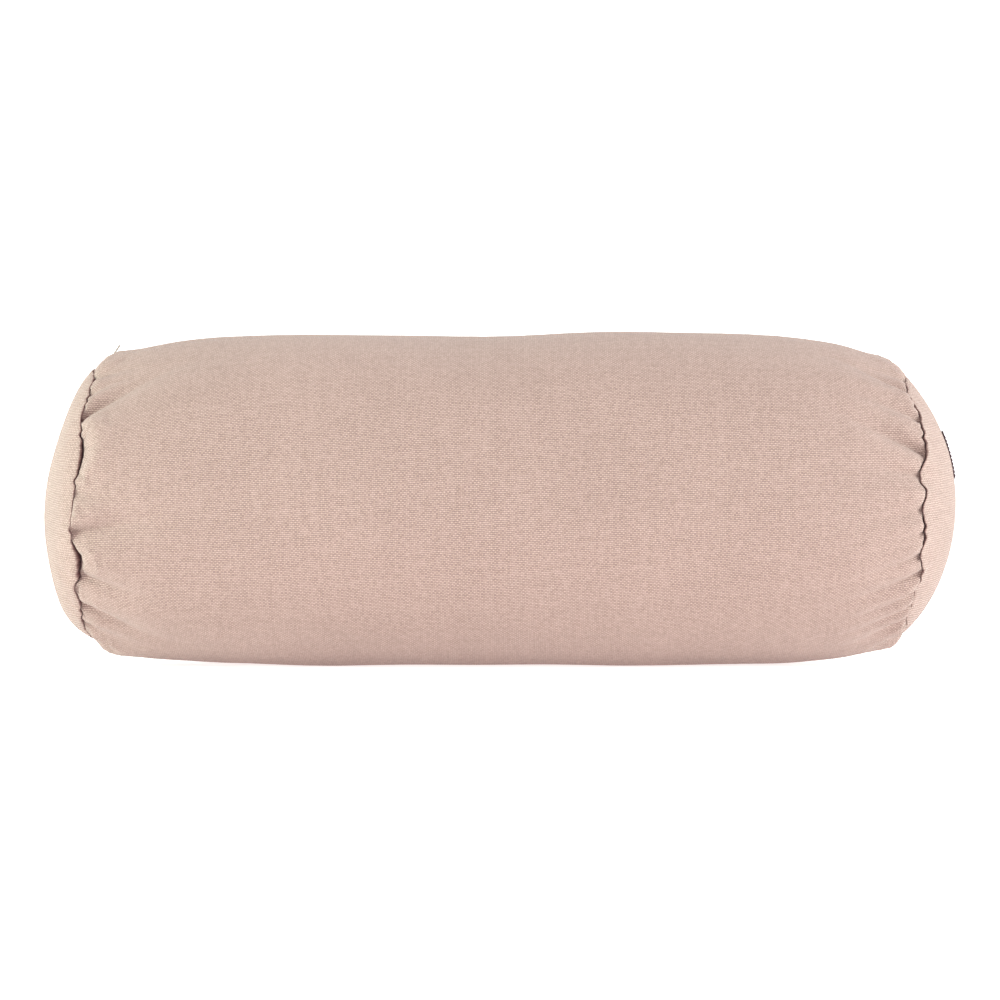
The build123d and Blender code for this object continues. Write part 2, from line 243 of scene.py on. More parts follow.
# --- meshes ---
def new_object(name, points, faces, uvs=None, smooth=True):
    mesh = bpy.data.meshes.new(name)
    mesh.from_pydata(np.asarray(points, float).reshape(-1, 3).tolist(), [], faces)
    if uvs is not None:
        layer = mesh.uv_layers.new(name="cloth")
        layer.data.foreach_set("uv", np.asarray(uvs, np.float32).ravel())
    mesh.update()
    if smooth:
        mesh.shade_smooth()
    obj = bpy.data.objects.new(name, mesh)
    bpy.context.scene.collection.objects.link(obj)
    return obj


def grid_faces(rows, columns, closed=False, keep=None, flip=False):
    """Faces of a grid of points and the (row, column) of their corners. keep(row, column) may drop some."""
    faces, corners = [], []
    for i in range(rows - 1):
        for j in range(columns if closed else columns - 1):
            if keep is not None and not keep(i, j):
                continue
            quad = [(i, j), (i + 1, j), (i + 1, j + 1), (i, j + 1)]
            if flip:
                quad.reverse()
            corners.extend(quad)
            faces.append([row * columns + column % columns for row, column in quad])
    return faces, np.array(corners)


def round_faces(points, side):
    """Faces of rings of points round an end disc, its middle closed, and the points at their corners."""
    rows, columns = points.shape[:2]
    faces, corners = grid_faces(rows, columns, closed=True, flip=side < 0)
    ring = [(0, j) for j in range(columns)][::side]
    corners = np.vstack([corners, ring])
    return [*faces, [j for _, j in ring]], points[corners[:, 0], corners[:, 1] % columns]


def cloth_grid(name, points, u, v, **grid):
    """A sheet of cloth on a grid of points. u and v are metres along the threads at each row and column."""
    rows, columns = points.shape[:2]
    faces, corners = grid_faces(rows, columns, **grid)
    uvs = np.stack([u[corners[:, 0]], v[corners[:, 1]]], -1)
    return new_object(name, points, faces, uvs)


def thicken(obj, thickness=CLOTH, offset=-1):
    solid = obj.modifiers.new("thickness", "SOLIDIFY")
    solid.thickness = thickness
    solid.offset = offset
    solid.use_even_offset = False
    return obj


def apply_modifiers(obj):
    """Leaves obj with its modifiers' result as its own mesh."""
    graph = bpy.context.evaluated_depsgraph_get()
    mesh = bpy.data.meshes.new_from_object(obj.evaluated_get(graph), depsgraph=graph)
    obj.modifiers.clear()
    obj.data = mesh
    return obj


def mark(obj, name, values):
    """Gives obj a number at every point, for its shader."""
    layer = obj.data.attributes.new(name, "FLOAT", "POINT")
    layer.data.foreach_set("value", np.asarray(values, np.float32).ravel())


def vertices_of(obj):
    co = np.zeros(len(obj.data.vertices) * 3, np.float32)
    obj.data.vertices.foreach_get("co", co)
    return co.reshape(-1, 3).astype(float)


def round_axis(x, r, angle):
    """Points at radius r round the roll's axis, at these degrees from the top through the front."""
    turned = np.radians(angle)
    x, r, turned = np.broadcast_arrays(x, r, turned)
    return np.stack([x, -r * np.sin(turned), AXIS_Z + r * np.cos(turned)], -1)


def zip_point(x, across, out):
    """A point of the zip's frame in the shared frame."""
    y = across * math.cos(ZIP_ANGLE) + out * math.sin(ZIP_ANGLE)
    z = -across * math.sin(ZIP_ANGLE) + out * math.cos(ZIP_ANGLE)
    return np.stack(np.broadcast_arrays(x, y, z + AXIS_Z), -1)


def in_zip_frame(co):
    """How far points lie across the zip and out of the roll there."""
    across = co[..., 1] * math.cos(ZIP_ANGLE) - (co[..., 2] - AXIS_Z) * math.sin(ZIP_ANGLE)
    out = co[..., 1] * math.sin(ZIP_ANGLE) + (co[..., 2] - AXIS_Z) * math.cos(ZIP_ANGLE)
    return across, out


def settle(points, inset=0.0):
    """Rests a layer of cloth on the floor, or inset above it, and holds it as far under the zip."""
    across, out = in_zip_frame(points)
    held = zip_point(points[..., 0], across, np.minimum(out, ZIP_FACE - inset))
    held[..., 2] = np.maximum(held[..., 2], inset)
    return held


def tube(name, paths, radius, sides=7, taper=0.0):
    """An object of closed round tubes along several paths. taper narrows the ends."""
    points, faces = [], []
    for path in paths:
        path = np.asarray(path, float)
        along = np.gradient(path, axis=0)
        along /= np.linalg.norm(along, axis=1)[:, None]
        spare = np.array([0.0, 0.0, 1.0]) if abs(along[:, 2]).mean() < 0.8 else np.array([0.0, 1.0, 0.0])
        first = np.cross(along, spare)
        first /= np.linalg.norm(first, axis=1)[:, None]
        second = np.cross(along, first)
        turn = 2 * math.pi * np.arange(sides) / sides
        narrow = np.ones(len(path))
        narrow[[0, -1]] -= taper
        ring = np.cos(turn)[:, None] * first[:, None] + np.sin(turn)[:, None] * second[:, None]
        start = sum(len(p) for p in points)
        points.append((path[:, None] + radius * narrow[:, None, None] * ring).reshape(-1, 3))
        last = start + (len(path) - 1) * sides
        for a in range(start, last, sides):
            for j in range(sides):
                k = (j + 1) % sides
                faces.append([a + j, a + k, a + sides + k, a + sides + j])
        faces.append([start + j for j in reversed(range(sides))])
        faces.append([last + j for j in range(sides)])
    return new_object(name, np.vstack(points), faces)


# --- the cover's barrel ---
FRAMES = 12
PRESSURE = 150.0
VERTEX_MASS = 0.01
TENSION, SHEAR, BENDING = 15.0, 5.0, 0.15
EASE_LIMIT = 0.3  # the most that the cloth is cut larger than the ring it is gathered to
EASE_RADIUS = 103.5 * mm
STITCHED_DOWN = 1.8 * mm  # folds deeper than this are held by the seam's stitches
TAPE_HALF = 14 * mm  # the cloth sewn to the zip's tapes is held
LONG_SEAM_DEPTH = 1.1 * mm  # of the crease where the barrel's long seam goes on past the zip
# share of painted shade given to the cloth along the long seam's crease past the zip
LONG_SEAM_SHADE = 0.45
RIDGE = 0.6 * mm  # how softly the ridges rise from the stuffing
RIDGE_GAIN = 1.6
TYPICAL = 0.6  # the quantile of a row's rise that counts as the stuffing's own
PAST_ZIP = 4 * mm  # held, or not yet creased, past each end of the opening


def at_end(x, value):
    """value(side) for the end that each x is nearer to."""
    return np.where(x < 0, value(-1), value(1))


def rim_dip(side, angle):
    """How far in from a circle a seam lies."""
    top = np.exp(-((turn_between(angle, 0) / RIM_DIP_WIDTH) ** 2))
    bottom = np.exp(-((turn_between(angle, 180) / RIM_DIP_WIDTH) ** 2))
    return RIM_DIPS[side] * top - RIM_DROPS[side] * bottom


def broad_shape(x, from_seam, angle):
    """How far the uneven stuffing lets the whole surface sink."""
    dip = at_end(x, lambda side: rim_dip(side, angle))
    depth = dip * np.exp(-((from_seam / RIM_DIP_REACH) ** 2))
    for h in HOLLOWS:
        along = (x - h.x * mm) / (h.length * mm)
        round_it = turn_between(angle, h.angle) / h.width
        depth += h.depth * mm * np.exp(-(along**2) - round_it**2)
    for waves, pitch, height, phase in SWELLS:
        depth += height * mm * np.sin(waves * np.radians(angle) + 2 * math.pi * x / (pitch * mm) + phase)
    return depth


def sink(points, depth):
    """Moves points toward the roll's axis."""
    inward = [0, 0, AXIS_Z] - points
    inward[..., 0] = 0
    return points + depth[..., None] * inward / np.linalg.norm(inward, axis=-1, keepdims=True)


def barrel_start():
    """The barrel's grid before it swells: x, radius, distance from the seam, angle and depth of the folds."""
    x, r, run = rows_along()
    angle = -math.degrees(ZIP_ANGLE) + 360 * np.arange(COLUMNS) / COLUMNS
    run, angle = np.meshgrid(run, angle, indexing="ij")
    x, r = (np.repeat(a[:, None], COLUMNS, 1) for a in (x, r))
    from_seam = run[-1] - np.abs(run)
    folds = at_end(x, lambda side: fold_depth(side, from_seam, angle))
    lip = at_end(x, lambda side: lip_at(side, angle))
    gap = at_end(x, lambda side: round_seam(side, "gap", angle))
    x = x + np.sign(x) * (lip - gap / 2) * np.exp(-from_seam / LIP_REACH)
    return x, r, from_seam, angle, folds


def swell(obj, pinned, ease):
    """Inflates the cloth against its own cut size, as the stuffing does, and keeps the result."""
    pin = obj.vertex_groups.new(name="pinned")
    pin.add(np.nonzero(pinned)[0].tolist(), 1.0, "REPLACE")
    cut = obj.vertex_groups.new(name="cut")
    for level in np.unique(ease):
        cut.add(np.nonzero(ease == level)[0].tolist(), float(1 - level / EASE_LIMIT), "REPLACE")
    cloth = obj.modifiers.new("cloth", "CLOTH")
    cloth.point_cache.frame_end = FRAMES
    cloth.collision_settings.use_collision = False
    rules = cloth.settings
    rules.quality = 5
    rules.mass = VERTEX_MASS
    rules.tension_stiffness = rules.compression_stiffness = TENSION
    rules.shear_stiffness = SHEAR
    rules.bending_stiffness = BENDING
    rules.use_pressure = True
    rules.uniform_pressure_force = PRESSURE
    rules.vertex_group_mass = "pinned"
    rules.vertex_group_shrink = "cut"
    rules.shrink_min = -EASE_LIMIT
    rules.shrink_max = 0.0
    rules.effector_weights.gravity = 0
    for step in range(1, FRAMES + 1):
        bpy.context.scene.frame_set(step)
    apply_modifiers(obj)
    bpy.context.scene.frame_set(1)
    obj.vertex_groups.clear()
    return vertices_of(obj)


def on_stuffing(start, swollen):
    """The stuffing keeps its own shape: only ridges that rise more than their row stand off it."""
    outward = start - [0, 0, AXIS_Z]
    outward[..., 0] = 0
    outward /= np.linalg.norm(outward, axis=-1, keepdims=True)
    moved = swollen - start
    rise = (moved * outward).sum(-1, keepdims=True)
    along = moved - rise * outward
    along[..., 0] -= np.median(along[..., 0], axis=1, keepdims=True)
    typical = np.quantile(rise, TYPICAL, axis=1, keepdims=True)
    ridge = RIDGE * (np.log1p(np.exp((rise - typical) / RIDGE)) - math.log(2))
    return start + along + RIDGE_GAIN * ridge * outward


def turned_in(ring, before, sewn):
    """Rows of cloth that roll over the edge of a seam, down its groove and on along the allowance."""
    inward = [0, 0, AXIS_Z] - sewn
    inward[:, 0] = 0
    inward /= np.linalg.norm(inward, axis=1)[:, None]
    direction = ring - before
    direction /= np.linalg.norm(direction, axis=1)[:, None]
    over = ring + LIP_ROLL * direction
    above = sewn - GROOVE_ROLL * inward
    rows = [bezier(ring, over, above, sewn, t) for t in np.linspace(0, 1, LIP_ROWS)[1:]]
    allowance = sewn.copy()
    allowance[:, 0] -= np.sign(sewn[:, 0]) * (ALLOWANCE - GROOVE_DEPTH)
    return [*rows, allowance]


def groove_shade_share(row):
    """How much of a groove's painted shade a row of cloth has, counted from its raw edge."""
    return np.clip((LIP_ROWS - 0.5 - row) / 3, 0, 1)


def sewn_line(side, angle, depth=GROOVE_DEPTH):
    """The line round an end along which barrel and disc are sewn together, or one nearer their raw edges."""
    radius = SEAM_RADIUS - depth - rim_dip(side, angle)
    return round_axis(side * (SEAM_X + lip_at(side, angle)), radius, angle)


def inflated(points, x, r, from_seam, angle, folds, u, v):
    """The barrel's points after its simulation, held at the seams, the deep folds, the zip and the floor."""
    blank = cloth_grid("barrel_before", points, u, v, closed=True, flip=True)
    off_zip = np.clip(turn_between(angle, -math.degrees(ZIP_ANGLE)), -60, 60)
    on_zip = (np.abs(ZIP_FACE * np.tan(np.radians(off_zip))) < TAPE_HALF) & (np.abs(x) < ZIP_HALF + PAST_ZIP)
    on_floor = points[..., 2] < 0.1 * mm
    pinned = (from_seam < 1e-6) | (folds > STITCHED_DOWN) | on_zip | on_floor
    ease = np.round(np.clip(EASE_RADIUS / r - 1, 0, EASE_LIMIT), 3)
    swollen = swell(blank, pinned.ravel(), ease.ravel()).reshape(points.shape)
    bpy.data.objects.remove(blank)
    return on_stuffing(points, swollen)


def cover_barrel():
    """The barrel's cloth, and the lines along which its long seam goes on past the zip."""
    x, r, from_seam, angle, folds = barrel_start()
    points = settle(round_axis(x, r - folds, angle))
    v = PANEL_RADIUS * 2 * math.pi * np.arange(COLUMNS + 1) / COLUMNS
    u = np.r_[-1, 1][(x[:, 0] > 0).astype(int)] * (from_seam.max() - from_seam[:, 0])
    points = inflated(points, x, r, from_seam, angle, folds, u, v)
    points = settle(sink(points, broad_shape(x, from_seam, angle)))
    past_zip = np.clip((np.abs(x[:, 0]) - ZIP_HALF - PAST_ZIP) / (3 * mm), 0, 1)
    points[:, 0] = sink(points[:, 0], LONG_SEAM_DEPTH * past_zip)
    long_lines = [points[x[:, 0] * side > ZIP_HALF + 5 * mm, 0] for side in (-1, 1)]
    left = turned_in(points[0], points[1], sewn_line(-1, angle[0]))[::-1]
    right = turned_in(points[-1], points[-2], sewn_line(1, angle[0]))
    points = np.stack([*left, *points, *right])
    reach = ALLOWANCE * np.arange(1, LIP_ROWS + 1) / LIP_ROWS
    u = np.r_[(u[0] - reach)[::-1], u, u[-1] + reach]
    first_zip_row = LIP_ROWS + END_ROWS
    last_zip_row = len(points) - 1 - first_zip_row

    def keep(row, column):
        beside = column < SLOT_COLUMNS or column >= COLUMNS - SLOT_COLUMNS
        return not (beside and first_zip_row <= row < last_zip_row)

    cover = cloth_grid("cover_barrel", points, u, v, closed=True, keep=keep, flip=True)
    # Painted shade: the cloth that turns into each end seam's groove, and the crease of the long seam past
    # the zip, is darkened in the shader by these numbers.
    row = np.arange(len(points))
    groove = np.repeat(groove_shade_share(np.minimum(row, row[::-1]))[:, None], COLUMNS, 1)
    groove[LIP_ROWS:-LIP_ROWS, 0] = LONG_SEAM_SHADE * past_zip
    mark(cover, "groove", groove)
    return thicken(cover), long_lines


# --- the end discs ---
DISC_RINGS = 46
SAG = {-1: 12 * mm, 1: 2 * mm}  # how far below the axis each dome's tip is
FULLNESS = {-1: 1.7 * mm, 1: 0}  # how much fuller than a sphere each dome is near its rim
LOW_FULLNESS = {-1: 4.8 * mm, 1: 0}  # the same at the bottom
RIM_PEAK = 9.5  # brings share**6 * (1 - share**2) up to 1
PUCKER_DEPTH = 0.06  # of the tucks' depth that the disc's edge takes up
DISC_LIFT = 0.5 * mm
DISC_LIP_REACH = 8 * mm
DISC_MIDDLE = 0.004  # the share of the radius that the middle face has
DISC_STRETCH = 0.07  # of the weave toward the rim


def dome(distance):
    """How far out a dome stands at a distance from its axis."""
    return DOME_CENTRE + np.sqrt(DOME_RADIUS**2 - np.minimum(distance, 0.99 * DOME_RADIUS) ** 2)


def disc_face(side, share, angle):
    """How far out an end disc stands, at a share of the way from its middle to its seam."""
    turn = np.radians(angle)
    y, z = share * SEAM_RADIUS * np.sin(turn), share * SEAM_RADIUS * np.cos(turn)
    low = (1 - np.cos(turn)) / 2
    fullness = FULLNESS[side] + (LOW_FULLNESS[side] - FULLNESS[side]) * low
    tip = dome(np.hypot(y, z + SAG[side] * (1 - share**2)))
    return tip + RIM_PEAK * fullness * share**6 * (1 - share**2)


def cover_end(side, name):
    """An end disc: a dome that is level with the seam at its edge and turns in there."""
    angle = 360 * np.arange(COLUMNS) / COLUMNS
    share = np.linspace(0, 1, DISC_RINGS) ** 0.85
    share, angle = np.meshgrid(share, angle, indexing="ij")
    x = disc_face(side, share, angle)
    from_rim = SEAM_RADIUS * (1 - share)
    x -= PUCKER_DEPTH * fold_depth(side, from_rim, angle)
    lip, gap = lip_at(side, angle), round_seam(side, "gap", angle)
    x += (DISC_LIFT + lip + gap / 2) * np.exp(-from_rim / DISC_LIP_REACH)
    points = round_axis(side * x, np.maximum(share, DISC_MIDDLE) * SEAM_RADIUS, angle)
    points = sink(points, rim_dip(side, angle) * share)
    edge = turned_in(points[-1], points[-2], sewn_line(side, angle[0]))
    points = np.stack([*points, *edge])
    faces, flat = round_faces(points, side)
    spread = 1 + DISC_STRETCH * (np.hypot(flat[:, 1], flat[:, 2] - AXIS_Z) / SEAM_RADIUS) ** 2
    uvs = np.stack([flat[:, 1] * spread, (flat[:, 2] - AXIS_Z) * spread], -1)
    disc = new_object(name, points, faces, uvs)
    # Painted shade on the disc's cloth that turns into the seam's groove.
    mark(disc, "groove", np.repeat(groove_shade_share(np.arange(len(points))[::-1]), COLUMNS))
    return thicken(disc)


# --- sewing ---
THREAD_RADIUS = 0.28 * mm
STITCH_LENGTH = 2.7 * mm
STITCH_PITCH = 3.4 * mm
BARTACK_THREAD = 0.24 * mm
BARTACK_PASSES = 26
OVERLOCK_THREAD = 0.25 * mm
OVERLOCK_LOOPS = 230
OVERLOCK_BITE = 1 * mm  # how far the loops reach over the cloth's edge


def stitches(name, line, rise, lift=0.2 * mm, pitch=STITCH_PITCH, length=STITCH_LENGTH):
    """Single stitches along a line of points. rise is the direction out of the cloth, or one per point."""
    rise = np.broadcast_to(rise, line.shape)
    run = distance_along(line)
    paths = []
    for start in np.arange(0, run[-1] - length, pitch):
        at = start + length * np.linspace(0, 1, 7)
        path = np.stack([np.interp(at, run, line[:, k]) for k in range(3)], -1)
        out = np.stack([np.interp(at, run, rise[:, k]) for k in range(3)], -1)
        arch = np.sin(np.pi * np.linspace(0, 1, 7)) ** 0.4
        paths.append(path + out * (lift * arch - THREAD_RADIUS)[:, None])
    return tube(name, paths, THREAD_RADIUS, taper=0.45)


def zip_stitch_row(node, name):
    low, high = zip_extent(node)
    x = np.linspace(low[0], high[0], 200)
    return stitches(name, zip_point(x, (low[1] + high[1]) / 2, ZIP_FACE), ZIP_OUT)


def zip_extent(node):
    """Lowest and highest (x, across, out) of a CAD node, in the zip's frame."""
    co = np.array([v.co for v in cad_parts[node].data.vertices])
    local = np.stack([co[:, 0], *in_zip_frame(co)], -1)
    return local.min(0), local.max(0)


def zip_bartack(node, name):
    """A dense zigzag of thread across one end of the zip's opening."""
    low, high = zip_extent(node)
    across = np.linspace(low[1], high[1], BARTACK_PASSES)
    x = np.where(np.arange(BARTACK_PASSES) % 2, low[0] + 0.3 * mm, high[0] - 0.3 * mm)
    return tube(name, [zip_point(x, across, ZIP_FACE + 0.1 * mm)], BARTACK_THREAD, sides=6)


def seam_ring(side, name):
    """The lockstitches of an end seam."""
    angle = np.linspace(0, 360, 720)
    rise = round_axis(0, 1.0, angle) - round_axis(0, 0.0, angle)
    return stitches(name, sewn_line(side, angle, GROOVE_DEPTH + 0.6 * mm), rise, lift=0.1 * mm)


def overlock(name, edge, half_width):
    """Thread looped round the raw edges of a seam. edge(angle, depth) gives points round and across it."""
    angle = np.linspace(0, 360, 8 * OVERLOCK_LOOPS)
    turn = OVERLOCK_LOOPS * np.radians(angle)
    path = edge(angle, OVERLOCK_BITE * np.sin(turn))
    path[:, 0] += half_width * np.cos(turn)
    return tube(name, [path], OVERLOCK_THREAD, sides=5)


def cover_overlock(side, name):
    def edge(angle, depth):
        ring = sewn_line(side, angle, GROOVE_DEPTH + 0.2 * mm + depth)
        ring[:, 0] -= side * (ALLOWANCE - GROOVE_DEPTH)
        return ring

    return overlock(name, edge, 1.2 * mm)


def pad_overlock(side, name):
    def edge(angle, depth):
        radius = PAD_SEAM_RADIUS - 2.2 * mm + depth - rim_dip(side, angle)
        return round_axis(side * (SEAM_X - 7 * mm), radius, angle)

    return overlock(name, edge, 0.8 * mm)


def section_radius(x, inset=0.0):
    section = half_section()
    return np.interp(np.abs(x), section[:, 0], section[:, 1]) - inset


def long_seam(lines):
    """The stitches that close the barrel's long seam past each end of the zip, inside the cover."""
    under = (CLOTH + 2.5 * THREAD_RADIUS) * ZIP_OUT
    return join("long_seam_stitches", [stitches("long_seam_part", line - under, -ZIP_OUT) for line in lines])


def join(name, parts):
    """One object with the meshes of several."""
    points, faces = [], []
    for part in parts:
        start = sum(len(p) for p in points)
        points.append(vertices_of(part))
        faces.extend([[start + v for v in p.vertices] for p in part.data.polygons])
        bpy.data.objects.remove(part)
    return new_object(name, np.vstack(points), faces)


def thread_tail():
    """Two twisted plies of overlock thread that stand out of the left seam."""
    low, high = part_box("seam_thread_tail")
    root = np.array([low.x, high.y - 0.5 * mm, low.z])
    tip = np.array([high.x - 0.6 * mm, low.y + 0.6 * mm, high.z - 0.6 * mm])
    t = np.linspace(0, 1, 90)[:, None]
    bow = 0.5 * mm * np.sin(np.pi * t) * np.array([0.8, 0, -0.6])
    line = root + (tip - root) * t + bow
    along = (tip - root) / np.linalg.norm(tip - root)
    first = np.cross(along, [0, 1, 0])
    second = np.cross(along, first)
    plies = []
    for phase in (0, math.pi):
        turn = phase + 2 * math.pi * 8 * t
        plies.append(line + 0.25 * mm * (np.cos(turn) * first + np.sin(turn) * second))
    twisted = tube("tail_plies", plies, 0.3 * mm, taper=0.3)
    turn = np.linspace(0, 2 * np.pi * 2.5, 40)[:, None]
    knot = tip + 0.32 * mm * (np.cos(turn) * first + np.sin(turn) * second)
    knot = knot - along * 0.8 * mm * np.linspace(0, 1, 40)[:, None]
    return join("thread_tail", [twisted, tube("tail_knot", [knot], 0.22 * mm)])


# --- the zip ---
COIL_PITCH = 1.3 * mm
COIL_WIRE = 0.3 * mm


def zip_tape(node, name):
    """A woven tape with a corded inner edge."""
    low, high = zip_extent(node)
    inner, outer = sorted((low[1], high[1]), key=abs)
    way = np.sign(outer - inner)
    top, bottom = high[2], low[2]
    x = np.linspace(low[0], high[0], 120)
    middle = (top + bottom) / 2
    cord = [(inner + way * a * mm, b) for a, b in ((0.9, bottom), (0.15, bottom), (0, middle), (0.15, top))]
    flat = [(inner + way * 0.9 * mm, top), ((inner + outer) / 2, top), (outer - way * 0.2 * mm, top)]
    edge = [(outer, middle), (outer - way * 0.2 * mm, bottom), ((inner + outer) / 2, bottom)]
    loop = np.array(cord + flat + edge)
    points = zip_point(x[:, None], loop[None, :, 0], loop[None, :, 1])
    length = distance_along(np.vstack([loop, loop[:1]]))
    return close_ends(cloth_grid(name, points, x - x[0], length, closed=True), len(loop))


def close_ends(obj, columns):
    """Caps the two ends of a closed strip and turns its faces outwards."""
    mesh = bmesh.new()
    mesh.from_mesh(obj.data)
    mesh.verts.ensure_lookup_table()
    count = len(mesh.verts)
    for first in (0, count - columns):
        mesh.faces.new([mesh.verts[first + i] for i in range(columns)])
    bmesh.ops.recalc_face_normals(mesh, faces=mesh.faces)
    mesh.to_mesh(obj.data)
    mesh.free()
    return obj


def zip_coil(node, name, side):
    """One half of the closed chain: a nylon wire wound round the tape's edge."""
    low, high = zip_extent(node)
    turns = (high[0] - low[0] - 2 * COIL_WIRE) / COIL_PITCH
    phase = 0 if side < 0 else math.pi
    turn = np.linspace(0, 2 * np.pi * turns, int(10 * turns))
    middle = side * (abs(low[1] + high[1]) / 2 + 0.02 * mm)
    half_width = (high[1] - low[1]) / 2 - COIL_WIRE
    half_height = (high[2] - low[2]) / 2 - COIL_WIRE
    x = low[0] + COIL_WIRE + COIL_PITCH * turn / (2 * np.pi)
    across = middle + half_width * np.cos(turn + phase)
    out = (low[2] + high[2]) / 2 + half_height * np.sin(turn + phase)
    return tube(name, [zip_point(x, across, out)], COIL_WIRE, sides=6)


HEM_WIDTH = 9 * mm


def zip_hem(name, side):
    """The folded edge of the canvas along one side of the opening."""
    x = np.linspace(-ZIP_HALF, ZIP_HALF, 160)
    edge = ZIP_FACE * math.tan(2 * math.pi * SLOT_COLUMNS / COLUMNS)
    roll = np.radians(np.linspace(-90, 90, 7))
    across = np.r_[edge + HEM_WIDTH, edge + 0.6 * mm * (1 - np.cos(roll))]
    out = np.r_[-1.55 * mm, -1.0 * mm + 0.5 * mm * np.sin(roll)]
    wave = 0.12 * mm * np.sin(x / (17 * mm)) + 0.08 * mm * np.sin(x / (5.3 * mm) + side)
    points = zip_point(x[:, None], side * (across[None] + wave[:, None]), ZIP_FACE + out[None])
    length = distance_along(np.stack([across, out], -1))
    return thicken(cloth_grid(name, points, x, length), 0.5 * mm, 0)


# --- the labels ---
def on_disc(y, z, out):
    """A point this far out from the right end disc, at y and at z above the roll's axis."""
    angle = np.degrees(np.arctan2(-y, z))
    share = np.hypot(y, z) / (SEAM_RADIUS - rim_dip(1, angle))
    x = disc_face(1, share, angle)
    normal = np.stack([x - DOME_CENTRE, y, z], -1) / DOME_RADIUS
    return np.stack([x, y, z + AXIS_Z], -1) + normal * np.asarray(out)[..., None]


def woven_label():
    """A blank label with its top and bottom edges folded under, lifting a little at the top front corner."""
    low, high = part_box("woven_label")
    bottom, top = low.z - AXIS_Z, high.z - AXIS_Z
    near, far = low.y, high.y
    under, over, roll = 0.15 * mm, 0.42 * mm, 0.28 * mm
    fold = [(bottom + 6 * mm, under), (bottom + 0.3 * mm, under), (bottom, roll), (bottom + 0.3 * mm, over)]
    face = [(z, over) for z in np.linspace(bottom + 1 * mm, top - 1 * mm, 18)]
    back = [(top - 0.3 * mm, over), (top, roll), (top - 0.3 * mm, under), (top - 6 * mm, under)]
    loop = np.array(fold + face + back)
    y = np.linspace(near, far, 36)
    y_grid, z_grid = np.meshgrid(y, loop[:, 0], indexing="ij")
    out = np.repeat(loop[None, :, 1], len(y), 0)
    high_up = np.clip((z_grid - top + 11 * mm) / (11 * mm), 0, 1) ** 2
    forward = np.clip((4 * mm - y_grid) / (30 * mm), 0, 1)
    out = out + 0.5 * mm * high_up * forward
    length = distance_along(loop)
    label = cloth_grid("woven_label_blank", on_disc(y_grid, z_grid, out), y, length)
    return thicken(label, 0.2 * mm, 0), (far - near, length[-1])


def label_stitches():
    low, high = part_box("label_stitching")
    parts = []
    for y in (low.y + 0.25 * mm, high.y - 0.25 * mm):
        z = np.linspace(low.z, high.z, 60) - AXIS_Z
        line = on_disc(np.full(60, y), z, np.full(60, 0.85 * mm))
        rise = on_disc(np.full(60, y), z, np.full(60, 1.0)) - on_disc(np.full(60, y), z, np.zeros(60))
        parts.append(stitches("label_part", line, rise, 0.25 * mm, pitch=2.6 * mm, length=2.0 * mm))
    return join("label_stitches", parts)


def care_label():
    """A blank satin tape that hangs inside the cover from the zip's lower tape."""
    low, high = zip_extent("care_label")
    x = np.linspace(low[0], high[0], 12)
    across = np.linspace(low[1], high[1], 24)
    x_grid, across_grid = np.meshgrid(x, across, indexing="ij")
    radius = section_radius(x_grid, 2 * CLOTH)
    out = np.minimum(ZIP_FACE - 2 * CLOTH, np.sqrt(radius**2 - across_grid**2))
    label = cloth_grid("care_label_blank", zip_point(x_grid, across_grid, out), x, across)
    drop = distance_along(np.stack([across, out[len(x) // 2]], -1))[-1]
    return thicken(label, 0.3 * mm, 0), (high[0] - low[0], drop)


# --- the inner pad ---
PAD_INSET = 4.8 * mm
PAD_SEAM_RADIUS = 73.5 * mm
PAD_COLUMNS = 128
PAD_TUCK_DEPTH = 0.7 * mm
PAD_TUCK_REACH = 16 * mm
PAD_CLOTH = 0.5 * mm
FILLING_INSET = 7.6 * mm
LUMP = 0.25 * mm
PRESSED_REACH = 32 * mm
PAD_DRAWN_IN = 12 * mm  # where the cover's folds and its seam allowance press on it
PAD_RIM_DROP = 9.1 * mm  # how much lower than a dome each pad end lies at its rim
PAD_RIM_REACH = 9 * mm


def inset_section(inset, least):
    """The barrel's section moved in by inset, down to the radius least."""
    section = half_section()
    along = np.gradient(section, axis=0)
    along /= np.linalg.norm(along, axis=1)[:, None]
    moved = section + inset * np.stack([along[:, 1], -along[:, 0]], -1)
    return moved[moved[:, 1] >= least]


def both_halves(half):
    """x and radius all along a roll, of which half holds the points from its middle to an end."""
    return np.r_[-half[:0:-1, 0], half[:, 0]], np.r_[half[:0:-1, 1], half[:, 1]]


def small_tucks(turn, from_seam):
    waves = np.sin(23 * turn) + 0.6 * np.sin(37 * turn + 1) + 0.5 * np.sin(11 * turn + 2)
    return PAD_TUCK_DEPTH * (waves * np.exp(-from_seam / PAD_TUCK_REACH) - 1)


def pressed(from_seam):
    """How far the cover pushes in what lies under the gathers next to its seam."""
    return PAD_DRAWN_IN * np.exp(-((np.maximum(from_seam, 0) / PRESSED_REACH) ** 2))


def pad_barrel():
    half = inset_section(PAD_INSET, PAD_SEAM_RADIUS)
    half = np.vstack([half[:-1:6], half[-1:]])
    x, r = both_halves(half)
    run = distance_along(np.stack([x, r], -1))
    from_seam = np.minimum(run, run[-1] - run)
    angle = 360 * np.arange(PAD_COLUMNS) / PAD_COLUMNS
    radius = (r - pressed(from_seam))[:, None] + small_tucks(np.radians(angle)[None], from_seam[:, None])
    points = round_axis(x[:, None], radius, angle[None])
    points = settle(sink(points, broad_shape(x[:, None], from_seam[:, None], angle[None])), PAD_INSET)
    v = PANEL_RADIUS * 2 * math.pi * np.arange(PAD_COLUMNS + 1) / PAD_COLUMNS
    return thicken(cloth_grid("pad_barrel", points, run, v, closed=True, flip=True), PAD_CLOTH)


